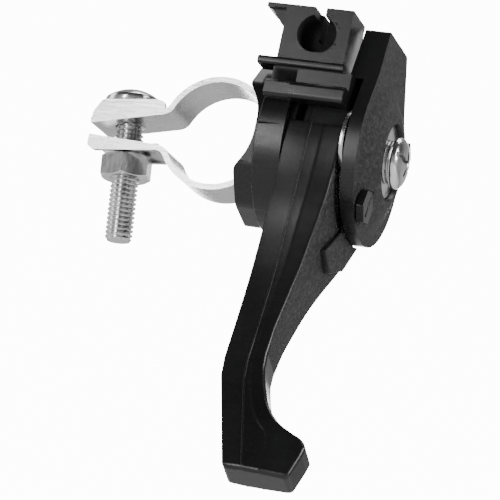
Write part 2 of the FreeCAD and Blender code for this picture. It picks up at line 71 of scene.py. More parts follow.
class Nodes:
    """Shorthand for building one node material."""

    def __init__(self, name):
        self.mat = bpy.data.materials.new(name)
        self.mat.use_nodes = True
        self.tree = self.mat.node_tree
        self.tree.nodes.clear()
        self.out = self.add("ShaderNodeOutputMaterial")
        self.bsdf = self.add("ShaderNodeBsdfPrincipled")
        self.link(self.bsdf.outputs[0], self.out.inputs[0])
        self.coord = self.add("ShaderNodeTexCoord").outputs["Object"]

    def add(self, kind, **props):
        node = self.tree.nodes.new(kind)
        for key, value in props.items():
            setattr(node, key, value)
        return node

    def link(self, a, b):
        self.tree.links.new(a, b)

    def set(self, **values):
        for key, value in values.items():
            self.bsdf.inputs[key.replace("_", " ")].default_value = value

    def noise(self, scale, detail=2.0, stretch=None, roughness=0.5):
        node = self.add("ShaderNodeTexNoise")
        node.inputs["Scale"].default_value = scale
        node.inputs["Detail"].default_value = detail
        node.inputs["Roughness"].default_value = roughness
        if stretch:
            mapping = self.add("ShaderNodeMapping")
            mapping.inputs["Scale"].default_value = stretch
            self.link(self.coord, mapping.inputs[0])
            self.link(mapping.outputs[0], node.inputs["Vector"])
        else:
            self.link(self.coord, node.inputs["Vector"])
        return node.outputs["Fac"]

    def voronoi(self, scale):
        node = self.add("ShaderNodeTexVoronoi")
        node.inputs["Scale"].default_value = scale
        self.link(self.coord, node.inputs["Vector"])
        return node.outputs["Distance"]

    def remap(self, value, low, high, to_low, to_high):
        node = self.add("ShaderNodeMapRange")
        set_range(node, low, high, to_low, to_high)
        self.link(value, node.inputs["Value"])
        return node.outputs["Result"]

    def ramp(self, value, stops):
        node = self.add("ShaderNodeValToRGB")
        ends = node.color_ramp.elements
        while len(ends) < len(stops):
            ends.new(0.5)
        for element, (place, colour) in zip(ends, stops):
            element.position = place
            element.color = (*colour, 1.0)
        self.link(value, node.inputs["Fac"])
        return node.outputs["Color"]

    def maths(self, kind, a, b):
        node = self.add("ShaderNodeMath", operation=kind)
        for socket, value in zip(node.inputs, (a, b)):
            if isinstance(value, (int, float)):
                socket.default_value = value
            else:
                self.link(value, socket)
        return node.outputs[0]

    def bump(self, height, distance):
        node = self.add("ShaderNodeBump")
        node.inputs["Distance"].default_value = distance
        self.link(height, node.inputs["Height"])
        self.link(node.outputs[0], self.bsdf.inputs["Normal"])


def moulded_plastic(name, tone=0.007, rough=(0.24, 0.36), ripple=0.00003):
    """Semi-gloss black nylon: faint flow marks, fine scuffs, a slightly uneven gloss."""
    n = Nodes(name)
    flow = n.noise(90, 3.0, (1.0, 1.0, 0.35))
    grain = n.noise(2600, 2.0)
    scuff = n.noise(700, 4.0, (0.3, 1.0, 1.0), 0.7)
    n.link(n.ramp(flow, [(0.3, (tone * 0.8,) * 3), (0.7, (tone * 1.25, tone * 1.25, tone * 1.3))]),
           n.bsdf.inputs["Base Color"])
    uneven = n.maths("ADD", n.maths("MULTIPLY", flow, 0.5), n.maths("MULTIPLY", scuff, 0.5))
    n.link(n.remap(uneven, 0.3, 0.7, rough[0], rough[1]), n.bsdf.inputs["Roughness"])
    n.bump(n.maths("ADD", n.maths("MULTIPLY", grain, 0.25), flow), ripple)
    n.set(IOR=1.5)
    return n.mat


def spark_plastic(name):
    """Spark-eroded mould texture: fine rounded pits and grain, with painted highlight on the high spots and
    painted shade in the low ones.
    """
    n = Nodes(name)
    tone = 0.016
    pits = n.voronoi(1900)
    coarse = n.noise(1300, 3.0, None, 0.65)
    fine = n.noise(4200, 2.0)
    patch = n.noise(120, 2.0)
    height = n.maths("ADD", n.maths("MULTIPLY", pits, 0.55),
                     n.maths("ADD", n.maths("MULTIPLY", coarse, 0.9), n.maths("MULTIPLY", fine, 0.3)))
    # colour follows the coarse grain's height: painted highlight on the raised grain, painted shade in the
    # hollows
    n.link(n.ramp(coarse, [(0.38, (tone * 0.35,) * 3), (0.5, (tone,) * 3), (0.62, (tone * 2.6,) * 3)]),
           n.bsdf.inputs["Base Color"])
    n.link(n.remap(n.maths("ADD", n.maths("MULTIPLY", coarse, 0.6), n.maths("MULTIPLY", patch, 0.4)),
                   0.35, 0.65, 0.48, 0.68), n.bsdf.inputs["Roughness"])
    n.bump(height, 0.00035)
    n.set(IOR=1.5)
    return n.mat


def plated_steel(name, tone, rough, grain, depth, tint=(1.0, 1.0, 1.0)):
    """Plated or turned metal, with fine lines stretched by grain and dull patches."""
    n = Nodes(name)
    lines = n.noise(1500, 4.0, grain, 0.65)
    patch = n.noise(160, 3.0)
    specks = n.noise(2400, 3.0)
    dull = n.maths("ADD", n.maths("MULTIPLY", lines, 0.5), n.maths("MULTIPLY", patch, 0.5))
    low = tuple(tone * 0.86 * c for c in tint)
    high = tuple(min(1.0, tone * 1.08 * c) for c in tint)
    n.link(n.ramp(dull, [(0.35, low), (0.65, high)]), n.bsdf.inputs["Base Color"])
    n.link(n.remap(dull, 0.3, 0.7, rough[0], rough[1]), n.bsdf.inputs["Roughness"])
    n.bump(n.maths("ADD", n.maths("MULTIPLY", lines, 0.7), n.maths("MULTIPLY", specks, 0.3)), depth)
    n.set(Metallic=1.0)
    return n.mat


def friction_material(name):
    """Pale pressed-fibre disc."""
    n = Nodes(name)
    speck = n.voronoi(1800)
    n.link(n.ramp(speck, [(0.1, (0.42, 0.40, 0.34)), (0.6, (0.6, 0.58, 0.52))]), n.bsdf.inputs["Base Color"])
    n.link(n.remap(n.noise(900), 0.3, 0.7, 0.5, 0.7), n.bsdf.inputs["Roughness"])
    n.bump(speck, 0.00003)
    return n.mat


GLOSS = moulded_plastic("gloss_black")
# Darker, rougher black that paints shade: inside the cable stop's socket, on the lever hub's rim under the
# shelf, and on the cable drum.
PAINTED_SHADE_BLACK = moulded_plastic("painted_shade_black", 0.003, (0.75, 0.9), 0.00002)
SPARK_PAINTED_LIGHT = spark_plastic("spark_black_painted_light")
ZINC = plated_steel("zinc_strip", 0.64, (0.16, 0.34), (0.12, 1.0, 1.0), 0.00005)
BRIGHT = plated_steel("zinc_turned", 0.76, (0.12, 0.26), (1.0, 1.0, 0.2), 0.000008)
BRASS = plated_steel("brass_turned", 0.8, (0.25, 0.35), (0.2, 1.0, 1.0), 0.00001, (1.0, 0.78, 0.4))
FRICTION = friction_material("friction_disc")


# ------------------------------------------------------------------ mesh tools
def swing(x, s, t):
    """A point of the lever, given across (s) and along (t) its arm, as (x, y, z)."""
    cos, sin = math.cos(SWING), math.sin(SWING)
    return Vector((x, s * cos - t * sin, -s * sin - t * cos))


def along_x(a, r, angle):
    return Vector((a, r * math.cos(angle), r * math.sin(angle)))


def along_y(a, r, angle):
    return Vector((r * math.cos(angle), a, r * math.sin(angle)))


def along_z(a, r, angle):
    return Vector((r * math.cos(angle), r * math.sin(angle), a))


def round_corners(points, radii, steps=4):
    """The outline with an arc at each corner that has a radius."""
    result = []
    count = len(points)
    for i, (point, radius) in enumerate(zip(points, radii)):
        here = Vector(point)
        if radius <= 0:
            result.append(tuple(here))
            continue
        before = (Vector(points[i - 1]) - here).normalized()
        after = (Vector(points[(i + 1) % count]) - here).normalized()
        half = before.angle(after) / 2
        reach = radius / math.tan(half)
        centre = here + (before + after).normalized() * (radius / math.sin(half))
        start, end = here + before * reach - centre, here + after * reach - centre
        for k in range(steps + 1):
            mix = start.lerp(end, k / steps)
            result.append(tuple(centre + mix.normalized() * radius))
    return result


def revolve(bm, profile, place, segments=96):
    """Turned from (axial, radius) points: a ring, or a solid where the profile ends at radius 0."""
    rings = []
    for a, r in profile:
        if r < 1e-6:
            rings.append([bm.verts.new(place(a, 0.0, 0.0))])
        else:
            rings.append([bm.verts.new(place(a, r, 2 * math.pi * k / segments)) for k in range(segments)])
    closed = all(len(ring) > 1 for ring in rings)
    pairs = list(zip(rings, rings[1:])) + ([(rings[-1], rings[0])] if closed else [])
    for one, two in pairs:
        for k in range(segments):
            m = (k + 1) % segments
            if len(one) == 1:
                bm.faces.new((one[0], two[m], two[k]))
            elif len(two) == 1:
                bm.faces.new((one[k], one[m], two[0]))
            else:
                bm.faces.new((one[k], one[m], two[m], two[k]))


def prism(bm, outline, place, a, b):
    """An outline of (u, v) points, swept from a to b."""
    low = [bm.verts.new(place(u, v, a)) for u, v in outline]
    high = [bm.verts.new(place(u, v, b)) for u, v in outline]
    bm.faces.new(low)
    bm.faces.new(list(reversed(high)))
    for k in range(len(outline)):
        m = (k + 1) % len(outline)
        bm.faces.new((low[m], low[k], high[k], high[m]))


def skin(bm, rings):
    """Faces from each ring of points to the next, and a cap at both ends."""
    for one, two in zip(rings, rings[1:]):
        for k in range(len(one)):
            m = (k + 1) % len(one)
            bm.faces.new((one[k], one[m], two[m], two[k]))
    bm.faces.new(list(reversed(rings[0])))
    bm.faces.new(rings[-1])


def polygon(count, radius, turn=0.0, centre=(0.0, 0.0)):
    """Corners of a regular outline, turned by some degrees."""
    angles = [math.radians(360 / count * i + turn) for i in range(count)]
    return [(centre[0] + radius * math.cos(a), centre[1] + radius * math.sin(a)) for a in angles]


def yz(u, v, a):
    return Vector((a, u, v))


def xz(u, v, a):
    return Vector((u, a, v))


def xy(u, v, a):
    return Vector((u, v, a))


def solid(build, *arguments, **options):
    """A loose object in millimetres, for joining and cutting."""
    bm = bmesh.new()
    build(bm, *arguments, **options)
    bmesh.ops.recalc_face_normals(bm, faces=bm.faces)
    return from_bmesh(bm, "tool")


def from_bmesh(bm, name):
    mesh = bpy.data.meshes.new(name)
    bm.to_mesh(mesh)
    bm.free()
    obj = bpy.data.objects.new(name, mesh)
    bpy.context.scene.collection.objects.link(obj)
    return obj


def box(xs, ys, zs):
    (x0, x1), (y0, y1) = xs, ys
    return solid(prism, [(x0, y0), (x1, y0), (x1, y1), (x0, y1)], xy, *zs)


def rod(place, a, b, r, segments=96, move=(0, 0, 0)):
    def placed(u, radius, angle):
        return place(u, radius, angle) + Vector(move)
    return solid(revolve, [(a, 0.0), (a, r), (b, r), (b, 0.0)], placed, segments)


def bake(obj):
    """Apply the modifiers that obj carries."""
    bpy.context.view_layer.update()
    mesh = bpy.data.meshes.new_from_object(obj.evaluated_get(bpy.context.evaluated_depsgraph_get()))
    obj.modifiers.clear()
    old, obj.data = obj.data, mesh
    bpy.data.meshes.remove(old)
    return obj


def cut(obj, tool, kind="DIFFERENCE"):
    modifier = obj.modifiers.new("cut", "BOOLEAN")
    modifier.operation = kind
    modifier.solver = "EXACT"
    modifier.object = tool
    bake(obj)
    bpy.data.objects.remove(tool)
    return obj


def join(obj, tool):
    return cut(obj, tool, "UNION")


def tidy(obj, angle=0.6, gap=0.004):
    """Weld points closer than gap and dissolve edges flatter than angle, in degrees."""
    bm = bmesh.new()
    bm.from_mesh(obj.data)
    bmesh.ops.remove_doubles(bm, verts=bm.verts, dist=gap)
    bmesh.ops.dissolve_limit(bm, angle_limit=math.radians(angle), verts=bm.verts, edges=bm.edges)
    bm.to_mesh(obj.data)
    bm.free()
    return obj


def bevel(obj, width, segments=3, angle=28.0):
    modifier = obj.modifiers.new("edges", "BEVEL")
    modifier.width = width
    modifier.segments = segments
    modifier.limit_method = "ANGLE"
    modifier.angle_limit = math.radians(angle)
    modifier.miter_outer = "MITER_ARC"
    return bake(obj)


def round_some(obj, width, chosen, segments=5):
    """Round the sharp edges that chosen(a, b) picks, by their end points."""
    bm = bmesh.new()
    bm.from_mesh(obj.data)
    edges = [e for e in bm.edges if len(e.link_faces) == 2 and e.calc_face_angle(0.0) > math.radians(20)
             and chosen(e.verts[0].co, e.verts[1].co)]
    bmesh.ops.bevel(bm, geom=edges, offset=width, offset_type="OFFSET", segments=segments, profile=0.5,
                    affect="EDGES", clamp_overlap=True)
    bm.to_mesh(obj.data)
    bm.free()
    return obj


def along(a, b, axis):
    """True for an edge that runs along one axis."""
    return abs((b - a).normalized()[axis]) > 0.98


def copy_node(name):
    """The CAD node's outline as a new mesh in millimetres, with its flat faces whole again."""
    bm = bmesh.new()
    bm.from_mesh(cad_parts[name].data)
    bmesh.ops.scale(bm, vec=[1 / MM] * 3, verts=bm.verts)
    bmesh.ops.remove_doubles(bm, verts=bm.verts, dist=0.003)
    obj = from_bmesh(bm, "tool")
    return tidy(obj, 0.4)


def merge(first, *others):
    """Several shells in one object, where they only meet."""
    bm = bmesh.new()
    for obj in (first, *others):
        bm.from_mesh(obj.data)
    bm.to_mesh(first.data)
    bm.free()
    for obj in others:
        bpy.data.objects.remove(obj)
    return first


def finish(obj, name, body, material, node_names, sharp, extra=()):
    """Scale to metres, shade, give materials, and ride on the CAD body.

    Edges over sharp degrees stay sharp. extra holds (material, chooser) pairs for single faces.
    """
    obj.data.transform(Matrix.Scale(MM, 4))
    obj.data.materials.clear()
    obj.data.materials.append(material)
    for other, _ in extra:
        obj.data.materials.append(other)
    bm = bmesh.new()
    bm.from_mesh(obj.data)
    bmesh.ops.recalc_face_normals(bm, faces=bm.faces)
    for face in bm.faces:
        face.smooth = True
        face.material_index = next((k for k, (_, chosen) in enumerate(extra, 1) if chosen(face)), 0)
    for edge in bm.edges:
        edge.smooth = not (len(edge.link_faces) == 2 and edge.calc_face_angle(0.0) > math.radians(sharp))
    bm.to_mesh(obj.data)
    bm.free()
    weighted = obj.modifiers.new("normals", "WEIGHTED_NORMAL")
    weighted.keep_sharp = True
    weighted.weight = 80
    bake(obj)
    obj.name = obj.data.name = name
    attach(obj, body)
    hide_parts(*node_names)


def catmull(points, per_span):
    """A smooth curve through the points, as tuples of the same size."""
    pts = [Vector(p) for p in points]
    pts = [pts[0] * 2 - pts[1]] + pts + [pts[-1] * 2 - pts[-2]]
    out = []
    for i in range(1, len(pts) - 2):
        p0, p1, p2, p3 = pts[i - 1:i + 3]
        for k in range(per_span):
            t = k / per_span
            out.append(0.5 * ((2 * p1) + (p2 - p0) * t + (2 * p0 - 5 * p1 + 4 * p2 - p3) * t * t
                              + (3 * p1 - p0 - 3 * p2 + p3) * t ** 3))
    out.append(pts[-2])
    return [tuple(p) for p in out]


def sample(table, t):
    """Straight-line reading of a table of (t, value)."""
    if t <= table[0][0]:
        return table[0][1]
    for (t0, v0), (t1, v1) in zip(table, table[1:]):
        if t <= t1:
            return v0 + (v1 - v0) * (t - t0) / (t1 - t0)
    return table[-1][1]


# ----------------------------------------------------------------------- clamp
def band_path():
    """Middle line of the strip in (x, z): upper ear, S-bend, loop, S-bend, lower ear."""
    mid_r = BAR_R + BAND_T / 2
    radius, loop_steps = 2.6, 60

    def side(ear, sign):
        (xi, zi), (xo, zo) = ear
        direction = (Vector((xi, zi)) - Vector((xo, zo))).normalized()
        normal = Vector((-direction.y, direction.x)) * sign
        start = Vector((xo, zo)) + direction * 0.32 + normal * (BAND_T / 2)
        # walk along the ear until the bend's circle touches the loop's
        leave = start.copy()
        centre = leave + normal * radius
        while centre.length > mid_r + radius:
            leave += direction * 0.01
            centre = leave + normal * radius
        touch = centre * (mid_r / (mid_r + radius))
        a0, a1 = leave - centre, touch - centre
        bend = [tuple(centre + a0.lerp(a1, k / 8).normalized() * radius) for k in range(9)]
        straight = [tuple(start.lerp(leave, k / 6)) for k in range(6)]
        return straight + bend, math.atan2(touch.y, touch.x)

    upper, angle_up = side(UPPER_EAR, 1)
    lower, angle_low = side(LOWER_EAR, -1)
    sweep = angle_up - angle_low
    angles = [angle_up - sweep * k / loop_steps for k in range(1, loop_steps)]
    loop = [(mid_r * math.cos(a), mid_r * math.sin(a)) for a in angles]
    return upper + loop + list(reversed(lower))


def strip(bm, path, thick, half):
    """A flat strip along a path in (x, z)."""
    rows = []
    for i, p in enumerate(path):
        before, after = Vector(path[max(i - 1, 0)]), Vector(path[min(i + 1, len(path) - 1)])
        tangent = (after - before).normalized()
        normal = Vector((-tangent.y, tangent.x)) * (thick / 2)
        a, b = Vector(p) + normal, Vector(p) - normal
        rows.append([bm.verts.new((a.x, -half, a.y)), bm.verts.new((a.x, half, a.y)),
                     bm.verts.new((b.x, half, b.y)), bm.verts.new((b.x, -half, b.y))])
    skin(bm, rows)


def seat_height(x, depth):
    """Height at x of the plane across the bolt, at a depth below its head."""
    x0 = BOLT_SEAT.x + depth * math.sin(LEAN)
    z0 = BOLT_SEAT.z - depth * math.cos(LEAN)
    return z0 + (x - x0) * math.tan(LEAN)


def flange(side, ear, depth, y0, y1):
    """An ear's folded long edge, whose free side lies in the plane across the bolt at depth."""
    (xi, zi), (xo, zo) = ear
    loop_z = side * math.sqrt(LOOP_R ** 2 - 11.2 ** 2)
    seat_out, seat_in = xo + 1.9, -15.0
    outline = [(xi - 2.6, zi), (xo + 0.3, zo), (xo + 0.3, zo + side * 2.6),
               (seat_out, seat_height(seat_out, depth)), (seat_in, seat_height(seat_in, depth)),
               (-12.9, loop_z + side * 0.35), (-12.2, loop_z - side * 1.2)]
    outline = round_corners(outline, [0, 0.6, 1.2, 1.2, 1.5, 0.6, 0], 4)
    return solid(prism, outline, xz, y0, y1)


def clamp_band():
    band = solid(strip, band_path(), BAND_T, BAND_HALF)
    for side, ear, depth in ((1, UPPER_EAR, 0.02), (-1, LOWER_EAR, 11.18)):
        for y0, y1 in ((-BAND_HALF, -BAND_HALF + BAND_T), (BAND_HALF - BAND_T, BAND_HALF)):
            join(band, flange(side, ear, depth, y0 + 0.001, y1 - 0.001))
    hole = solid(revolve, [(-30.0, 0.0), (-30.0, 3.3), (2.0, 3.3), (2.0, 0.0)], along_z, 48)
    hole.data.transform(BOLT_PLACE)
    cut(band, hole)
    cut(band, rod(along_y, -9, 9, BAR_R, 160))
    cut(band, solid(revolve, [(9.0, 0.0), (9.0, 5.5), (9.8, 5.5), (12.6, 4.05), (12.6, 0.0)], along_x, 64))
    tidy(band)
    bevel(band, 0.28, 3, 30)
    finish(band, "clamp_strip", "base", ZINC, ["clamp_band"], 40)


def thread(bm, place, bottom, top, major, minor, pitch, segments=40, steps=8):
    """A rod whose surface carries a helical thread, thinner at both ends."""
    rows = int((top - bottom) / pitch * steps)
    rings = []
    for i in range(rows + 1):
        a = bottom + (top - bottom) * i / rows
        ends = min(1.0, (a - bottom) / 0.9, (top - a) / 0.4 + 0.3)
        ring = []
        for k in range(segments):
            phase = (a / pitch - k / segments) % 1.0
            crest = max(0.0, min(1.0, 1.25 - abs(phase - 0.5) * 3.0))
            r = min(minor + (major - minor) * crest, major - 0.55 * (1 - ends))
            ring.append(bm.verts.new(place(a, r, 2 * math.pi * k / segments)))
        rings.append(ring)
    skin(bm, rings)


def clamp_bolt():
    height, dome_r = 3.6, 9.2
    dome = [(0.0, 0.0), (0.0, 5.6), (0.3, 5.95), (1.0, 6.0)]
    for r in (5.9, 5.6, 5.2, 4.7, 4.0, 3.2, 2.2, 1.1):
        dome.append((height - dome_r + math.sqrt(dome_r ** 2 - r * r), r))
    dome.append((height, 0.0))
    head = solid(revolve, dome, along_z, 96)
    for angle in (20, 110):
        arm = box((-3.0, 3.0), (-0.6, 0.6), (1.6, 6.0))
        arm.data.transform(Matrix.Rotation(math.radians(angle), 4, "Z"))
        cut(head, arm)
    cut(head, solid(revolve, [(1.1, 0.0), (1.9, 1.1), (4.5, 1.5), (4.5, 0.0)], along_z, 32))
    tidy(head, 0.3)
    bevel(head, 0.1, 2, 35)
    shank = solid(thread, along_z, -29.8, -0.2, 2.99, 2.48, 1.0)
    bolt = merge(head, shank)
    bolt.data.transform(BOLT_PLACE)
    finish(bolt, "cross_head_bolt", "bolt", BRIGHT, ["clamp_bolt"], 42)


def clamp_nut():
    flats, height = 10.0, 5.0
    corner = flats / math.sqrt(3.0)
    nut = solid(prism, polygon(6, corner, 30), xy, 0.0, height)
    barrel = [(-0.01, 0.0), (-0.01, corner - 0.95), (0.75, corner + 0.3),
              (4.25, corner + 0.3), (5.01, corner - 0.95), (5.01, 0.0)]
    cut(nut, solid(revolve, barrel, along_z, 96), "INTERSECT")
    hole = [(-1.0, 0.0), (-1.0, 4.05), (0.5, 3.05), (4.5, 3.05), (6.0, 4.05), (6.0, 0.0)]
    cut(nut, solid(revolve, hole, along_z, 64))
    tidy(nut, 0.3)
    bevel(nut, 0.13, 2, 30)
    turn = Matrix.Rotation(math.radians(10), 4, "Z")
    nut.data.transform(BOLT_PLACE @ Matrix.Translation((0, 0, -16.2)) @ turn)
    finish(nut, "hex_nut", "nut", BRIGHT, ["clamp_nut"], 40)


# ------------------------------------------------------------------------ base
def saddle_corner(sign):
    """What rounds the corner between the saddle and the end of a wing, in (x, z)."""
    corner = Vector((8.6, sign * 8.79))
    end, saddle = Vector((0.0, sign)), Vector((0.714, -sign * 0.699))     # the two sides' directions
    arc = round_corners([corner + end * 3, corner, corner + saddle * 3], [0, 3.0, 0], 6)[1:-1]
    outside = [Vector(arc[-1]) + Vector((-0.699, -sign * 0.714)) * 0.5,
               corner + Vector((-0.6, -sign * 0.3)), Vector(arc[0]) + Vector((-0.5, 0.0))]
    return solid(prism, arc + [tuple(p) for p in outside], xz, -30.0, 30.0)


def base_housing():
    base = copy_node("base_housing")
    keep = solid(prism, round_corners(polygon(12, WING_R), [4.5] * 12, 6), yz, 7.0, 12.61)
    rest = [(WING_X, 0.0), (WING_X, 17.6), (12.8, 18.1), (13.3, 18.5), (13.3, 40.0), (40.0, 40.0),
            (40.0, 0.0)]
    join(keep, solid(revolve, rest, along_x, ROUND))
    cut(base, keep, "INTERSECT")
    for sign in (1, -1):
        cut(base, saddle_corner(sign))
    round_some(base, 0.9, on_shelf)
    bevel(base, 0.22, 3, 26)
    finish(base, "base_moulding", "base", GLOSS, ["base_housing"], 30)


def on_shelf(a, b):
    """The long front edges of the shelf."""
    return along(a, b, 0) and max(a.y, b.y) < -19.0


def on_ledge(a, b):
    """The long front edges of the ledge and the block's upright corners."""
    return along(a, b, 0) and max(a.y, b.y) < -17.5 and min(a.z, b.z) > 12.5


def cable_stop():
    block = copy_node("cable_stop_bridge")
    round_some(block, 0.9, on_shelf)
    round_some(block, 0.6, on_ledge)
    cut(block, rod(along_y, -18.0, -16.1, 4.0, 96, (21.9, 0, SOCKET.y)))     # crescent beside the socket
    bevel(block, 0.2, 3, 30)

    # Faces inside the socket get the darker black: painted shade in the recess.
    def in_socket(face):
        centre = face.calc_center_median() / MM
        return centre.y > -16.0 and (centre.xz - SOCKET).length < 4.1

    finish(block, "cable_stop_moulding", "base", GLOSS, ["cable_stop_bridge"], 40,
           [(PAINTED_SHADE_BLACK, in_socket)])


# ----------------------------------------------------------------------- lever
# Each table gives a value at distances from the pivot along the arm.
ARM_START, ARM_END = 4.6, 78.5
ARM_HALF = [(ARM_START, 16.3), (8.0, 15.4), (14.0, 13.4), (21.0, 11.3), (28.0, 9.0), (36.0, 7.0),
            (45.0, 5.6), (56.0, 4.4), (66.0, 4.0), (ARM_END, 3.8)]
ARM_RIGHT = [(ARM_START, 30.8), (18.0, 30.8), (24.0, 30.1), (28.5, 29.4), (38.0, 28.1), (47.0, 27.1),
             (53.0, 27.0), (56.0, 27.35), (58.0, 27.95), (60.5, 28.9), (62.5, 29.75), (64.0, 30.65),
             (65.6, 31.9), (67.0, 33.4), (68.0, 35.0), (69.0, 37.1), (69.7, 38.8), (70.4, 39.5),
             (71.6, 40.15), (73.5, 39.85), (ARM_END, 38.6)]
ARM_LEFT = [(ARM_START, 18.7), (55.0, 18.7), (59.0, 19.2), (ARM_END, 25.6)]
ARM_CREASE = [(ARM_START, 23.6), (55.0, 23.6), (59.0, 24.1), (ARM_END, 29.6)]
FLANK_TILT = [(ARM_START, 0.0), (12.0, 0.0), (16.0, 0.35), (26.0, 0.3), (34.0, 0.0)]
SMOOTH_HALF = catmull(ARM_HALF, 8)


def arm_ring(t, inset):
    """Section of the arm at t, as (x, s) points: two facets a side that meet at the parting line."""
    left, right = sample(ARM_LEFT, t) + inset, sample(ARM_RIGHT, t) - inset
    crease = sample(ARM_CREASE, t)
    half = sample(SMOOTH_HALF, t) - inset
    root = min(1.0, max(0.0, (t - 6.0) / 10.0))
    draft, edge = 0.05 + 0.40 * root, 0.12 + 0.23 * root
    corner = min(0.9, 0.25 * (right - left))
    near = []
    for k in range(4):                     # small round at the left edge
        a = math.pi / 2 * k / 3
        near.append((left + edge - edge * math.cos(a), half - draft - edge + edge * math.sin(a)))
    ridge = crease + (right - corner - crease) * 0.42
    near += [(left + (crease - left) * 0.5, half - draft * 0.6),
             (crease - 0.22, half - 0.16), (crease - 0.10, half),
             (crease + 0.10, half), (crease + 0.22, half - 0.16),
             (ridge - 0.5, half - 0.22), (ridge, half - 0.10), (ridge + 0.5, half - 0.22)]
    for k in range(7):                     # round between the near facet and the outer face
        a = math.pi / 2 * k / 6
        near.append((right - corner + corner * math.sin(a), half - draft - corner + corner * math.cos(a)))
    tilt = sample(FLANK_TILT, t)           # the outer face's far edge goes out and its near edge in

    def tilted(x, s):
        share = s / half if x > crease + 1.5 else 0.0
        return x + tilt * share * (x - crease) / (right - crease), s

    return [tilted(x, -s) for x, s in near] + [tilted(x, s) for x, s in reversed(near)]


def arm(bm):
    """The arm from hub to tip: wide steps, finer ones through the bend and hook, and rounded ends."""
    root_r, tip_r = 0.3, 0.9
    stations = [(ARM_START + root_r * (1 - math.cos(a)), root_r * (1 - math.sin(a)))
                for a in (0.0, 0.5, 1.0, math.pi / 2)]
    t = 5.5
    for end, step in ((52.0, 1.5), (77.0, 0.4)):
        while t < end:
            stations.append((t, 0.0))
            t += step
    stations += [(ARM_END - tip_r + tip_r * math.sin(a), tip_r * (1 - math.cos(a)))
                 for a in (0.0, 0.3, 0.6, 0.9, 1.2, 1.4, math.pi / 2)]
    skin(bm, [[bm.verts.new(swing(x, s, t)) for x, s in arm_ring(t, inset)] for t, inset in stations])


def lever():
    shape = solid(arm)
    drum_room_r, lug_room_r = 16.36, 18.5
    cut(shape, rod(along_x, 18.0, HUB_X0, drum_room_r, ROUND))
    cut(shape, rod(along_x, HUB_X1, 33.0, lug_room_r, ROUND))
    hub = [(HUB_X0, 16.45), (23.15, HUB_R), (30.15, HUB_R), (HUB_X1, 16.45), (HUB_X1, 13.2), (29.4, 13.1),
           (29.4, 5.5), (HUB_X0, 5.5)]
    join(shape, solid(revolve, hub, along_x, ROUND))
    lug = [(-5.0, -16.0), (-13.0, -23.0), (-7.5, -26.5), (-1.5, -24.5), (5.5, -18.2), (5.5, -12.0)]
    pad = solid(prism, lug, yz, 28.0, 32.0)
    above = [(-20.0, 30.75), (-13.0, 30.8), (-1.5, 31.9), (8.0, 31.95), (8.0, 36.0), (-20.0, 36.0)]
    cut(pad, solid(prism, above, lambda y, x, z: Vector((x, y, z)), -30.0, -8.0))
    bevel(pad, 0.3, 3, 30)
    cut(pad, rod(along_x, 27.0, 34.0, lug_room_r, ROUND))
    within = [(s, t) for t, s in SMOOTH_HALF] + [(-s, t) for t, s in reversed(SMOOTH_HALF)]
    cut(pad, solid(prism, within, lambda s, t, x: swing(x, s * 0.985, t), 18.0, 40.0), "INTERSECT")
    join(shape, pad)
    tidy(shape, 0.15, 0.002)

    def outer_face(face):
        centre = face.calc_center_median() / MM
        reach = -centre.y * math.sin(SWING) - centre.z * math.cos(SWING)
        return face.normal.x > 0.75 and reach < 51.0

    # The hub's rim under the shelf gets the darker black: painted shade from the shelf.
    def hub_rim(face):
        return max(v.co.yz.length for v in face.verts) < (HUB_R + 0.1) * MM

    finish(shape, "thumb_lever", "lever", GLOSS, ["lever"], 20,
                  [(PAINTED_SHADE_BLACK, hub_rim), (SPARK_PAINTED_LIGHT, outer_face)])


# ----------------------------------------------------------------------- cover
def cover_outline():
    """A disc, with a neck that leaves it along a tangent on the near side."""
    steps = 96
    start = math.atan2(NECK_TOP, -NECK_HALF) + math.acos(COVER_R / math.hypot(NECK_HALF, NECK_TOP))
    end = math.radians(360 + 34)
    angles = [start + (end - start) * k / steps for k in range(steps + 1)]
    points = [(COVER_R * math.cos(a), COVER_R * math.sin(a)) for a in angles]
    neck = [points[-1], (11.5, 14.0), (NECK_HALF, NECK_TOP), (-NECK_HALF, NECK_TOP), points[0]]
    return points[1:-1] + round_corners(neck, [0, 2.0, 0.6, 0.6, 0], 3)


def cover_plate():
    plate = solid(prism, cover_outline(), yz, COVER_X0, COVER_X1)
    taper = solid(prism, [(39.0, 12.0), (34.6, 13.4), (33.6, 26.4), (39.0, 26.4)], xz, -20, 20)
    cut(taper, rod(along_x, 30, 60, 15.8))
    cut(plate, taper)
    foot = solid(prism, [(32.7, 13.0), (28.7, 13.0), (28.3, NECK_TOP), (32.7, NECK_TOP)], xz, -18.0, 18.0)
    cut(foot, rod(along_x, 27, 31.4, 17.2, 160))
    cut(foot, solid(prism, cover_outline(), yz, 27.0, COVER_X1), "INTERSECT")
    join(plate, foot)
    crown = [(34.0, 0.0), (34.0, 15.9), (COVER_X1, 15.5), (35.9, 12.4), (36.8, 10.4), (37.12, 9.6),
             (37.28, 9.0), (37.3, 8.4), (37.3, 0.0)]
    join(plate, solid(revolve, crown, along_x, ROUND))
    recess = [(35.3, 0.0), (35.3, 8.0), (37.2, 8.0), (37.6, 8.3), (37.6, 0.0)]
    cut(plate, solid(revolve, recess, along_x, ROUND))
    cut(plate, rod(along_x, 30, 45, 4.1, 64))
    cut(plate, solid(revolve, [(30, 1.0), (30, 8.2), (31.8, 8.2), (31.8, 1.0)], along_x, 96))
    for _, _, place, turn in PEGS:
        cut(plate, solid(prism, polygon(6, 3.9, turn, place), yz, 34.75, 40))
    tidy(plate, 0.4)
    bevel(plate, 0.22, 3, 28)

    def outer_face(face):
        return face.normal.x > 0.86

    finish(plate, "cover_moulding", "base", GLOSS, ["cover_plate"], 34,
           [(SPARK_PAINTED_LIGHT, outer_face)])


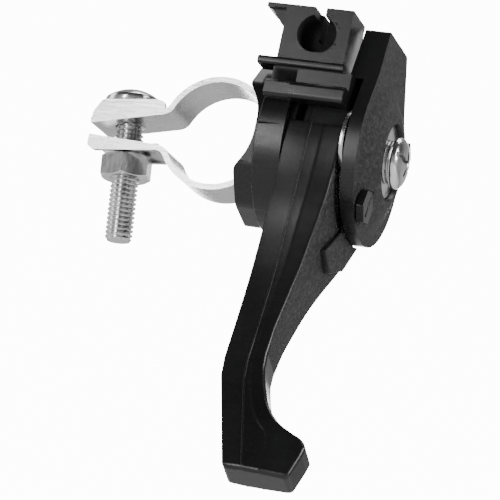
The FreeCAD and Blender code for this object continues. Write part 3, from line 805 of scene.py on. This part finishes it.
def peg(name, node, place, turn):
    head = solid(prism, polygon(6, 3.8, turn, place), yz, 34.8, 36.45)
    slit = box((35.6, 37.5), (-2.4, 2.4), (-0.28, 0.28))
    slit.data.transform(Matrix.Translation((0, *place)) @ Matrix.Rotation(math.radians(turn + 60), 4, "X"))
    cut(head, slit)
    tidy(head, 0.3)
    bevel(head, 0.16, 3, 30)
    shank = rod(along_x, COVER_X0, 35.0, 1.98, 48, (0, *place))
    finish(merge(head, shank), name, "base", GLOSS, [node], 36)


# ---------------------------------------------------------------- turned parts
def cover_washer():
    section = [(35.32, 2.7), (35.32, 7.8), (36.28, 7.8), (36.28, 2.7)]
    washer = solid(revolve, round_corners(section, [0.12, 0.12, 0.3, 0.2], 3), along_x, ROUND)
    finish(washer, "plain_washer", "base", BRIGHT, ["cover_washer"], 40)


def lock_washer():
    """One turn of square wire whose ends stand a little apart."""
    bm = bmesh.new()
    rings, steps = [], 72
    wire = round_corners([(-0.56, 2.7), (-0.56, 4.55), (0.56, 4.55), (0.56, 2.7)], [0.15] * 4, 2)
    for k in range(steps + 1):
        angle = math.radians(12 + 346 * k / steps) + 1.9
        rise = 0.12 * (k / steps - 0.5)
        rings.append([bm.verts.new(along_x(36.95 + rise + a, r, angle)) for a, r in wire])
    skin(bm, rings)
    washer = from_bmesh(bm, "tool")
    finish(washer, "split_washer", "base", ZINC, ["lock_washer"], 50)


def adjusting_screw():
    face, seat, reach = 40.4, 37.64, 5.4
    rim = seat + 0.8
    dome = [(seat, 0.0), (seat, 5.0), (seat + 0.12, 5.25), (seat + 0.35, 5.38), (rim, reach)]
    for r in (5.32, 5.1, 4.7, 4.1, 3.3, 2.3, 1.2):
        dome.append((rim + (face - seat - 0.8) * math.sqrt(1 - (r / reach) ** 2.3), r))
    head = solid(revolve, dome + [(face, 0.0)], along_x, 96)
    through = box((face - 1.35, face + 2), (-7, 7), (-0.55, 0.55))
    through.data.transform(Matrix.Rotation(math.radians(-8), 4, "X"))
    cut(head, through)
    for angle in (82, 172):
        arm_cut = box((face - 1.7, face + 2), (-2.7, 2.7), (-0.5, 0.5))
        arm_cut.data.transform(Matrix.Rotation(math.radians(angle), 4, "X"))
        cut(head, arm_cut)
    tidy(head, 0.3)
    bevel(head, 0.12, 2, 35)
    shank = solid(thread, along_x, 30.4, seat + 0.1, 2.49, 2.1, 0.8, 32, 6)
    screw = merge(head, shank)
    finish(screw, "round_head_screw", "screw", BRIGHT, ["adjusting_screw"], 42)


def pressure_plate():
    plate = rod(along_x, *PLATE_X, 15.15, 160)
    join(plate, rod(along_x, *PLATE_X, 7.05, 96, (0, -11.0, 0)))
    hole = rod(along_x, 29.0, 33.0, 4.02, 64)
    cut(hole, box((28.0, 34.0), (-6.0, 6.0), (-3.22, 3.22)), "INTERSECT")
    cut(plate, hole)
    tidy(plate, 0.3)
    bevel(plate, 0.14, 3, 40)
    finish(plate, "keyed_plate", "base", ZINC, ["pressure_plate"], 40)


clamp_band()
clamp_bolt()
clamp_nut()
base_housing()
cable_stop()
lever()
cover_plate()
for details in PEGS:
    peg(*details)
cover_washer()
lock_washer()
adjusting_screw()
pressure_plate()

# Hidden pieces that keep their CAD meshes.
CARRIED = {
    "pivot_stud": ZINC, "stop_pin": BRIGHT, "inner_washer": ZINC, "inner_friction_disc": FRICTION,
    # the cable drum gets the darker black: painted shade under the shelf
    "cable_drum": PAINTED_SHADE_BLACK, "lever_bush": BRASS, "outer_friction_disc": FRICTION, "wave_washer": ZINC,
}
for node_name, material in CARRIED.items():
    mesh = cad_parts[node_name].data
    if not mesh.materials:
        mesh.materials.append(material)
    for index in range(len(mesh.materials)):
        mesh.materials[index] = material


# ----------------------------------------------------------------------- studio
def card(name, centre, size, target, strength):
    """A soft area lamp that faces the target."""
    lamp = bpy.data.lights.new(name, "AREA")
    lamp.shape = "RECTANGLE"
    lamp.size, lamp.size_y = size
    lamp.energy = strength
    obj = bpy.data.objects.new(name, lamp)
    bpy.context.scene.collection.objects.link(obj)
    obj.location = centre
    obj.rotation_euler = (Vector(target) - Vector(centre)).to_track_quat("-Z", "Y").to_euler()


def studio():
    """Lamps, a bright patch of world behind the object with a paler horizon, and a floor."""
    target = (0.012, 0.0, -0.02)
    card("right", (0.72, -0.20, 0.32), (0.25, 0.45), target, 5.0)
    card("top", (0.05, 0.22, 0.66), (0.60, 0.34), target, 2.8)
    card("low_left", (-0.23, -0.62, -0.02), (0.10, 0.42), target, 1.8)
    card("left", (-0.70, -0.10, 0.12), (0.30, 0.60), target, 1.4)

    world = bpy.data.worlds.new("studio")
    world.use_nodes = True
    tree = world.node_tree
    background = tree.nodes["Background"]
    coord = tree.nodes.new("ShaderNodeTexCoord")
    axis = tree.nodes.new("ShaderNodeVectorMath")
    axis.operation = "DOT_PRODUCT"
    axis.inputs[1].default_value = (-0.315, 0.930, 0.187)
    tree.links.new(coord.outputs["Generated"], axis.inputs[0])

    height = tree.nodes.new("ShaderNodeSeparateXYZ")
    tree.links.new(coord.outputs["Generated"], height.inputs[0])

    def band(source, start, end, low, high):
        node = tree.nodes.new("ShaderNodeMapRange")
        node.interpolation_type = "SMOOTHSTEP"
        set_range(node, start, end, low, high)
        tree.links.new(source, node.inputs["Value"])
        return node.outputs["Result"]

    def add(a, b):
        node = tree.nodes.new("ShaderNodeMath")
        node.operation = "ADD"
        tree.links.new(a, node.inputs[0])
        tree.links.new(b, node.inputs[1])
        return node.outputs[0]

    behind = axis.outputs["Value"]
    backdrop = add(band(behind, 0.2, 0.92, 0.05, 0.35), band(behind, 0.970, 0.986, 0.0, 13.0))
    level = add(backdrop, band(height.outputs["Z"], 0.10, 0.50, 0.26, 0.0))
    tree.links.new(level, background.inputs["Strength"])
    background.inputs["Color"].default_value = (1.0, 1.0, 1.0, 1.0)
    bpy.context.scene.world = world

    floor_bm = bmesh.new()
    half, top = 3, -0.15
    prism(floor_bm, [(-half, -half), (half, -half), (half, half), (-half, half)], xy, top - 0.01, top)
    floor = from_bmesh(floor_bm, "floor")
    pale = Nodes("pale_floor")
    pale.link(pale.ramp(pale.noise(3.0, 2.0), [(0.3, (0.80, 0.80, 0.80)), (0.7, (0.83, 0.83, 0.83))]),
              pale.bsdf.inputs["Base Color"])
    pale.set(Roughness=0.8)
    floor.data.materials.append(pale.mat)


def photo_camera():
    camera = bpy.data.cameras.new("camera")
    camera.sensor_width = 36.0
    camera.lens = 158.4
    camera.clip_start = 0.01
    obj = bpy.data.objects.new("camera", camera)
    bpy.context.scene.collection.objects.link(obj)
    right, up = Vector((0.9390, 0.2767, 0.2042)), Vector((-0.1381, -0.2403, 0.9608))
    back = Vector((0.3149, -0.9304, -0.1874))
    rotation = Matrix((right, up, back)).transposed()
    obj.matrix_world = Matrix.Translation((0.1550, -0.4259, -0.1083)) @ rotation.to_4x4()
    bpy.context.scene.camera = obj


studio()
photo_camera()
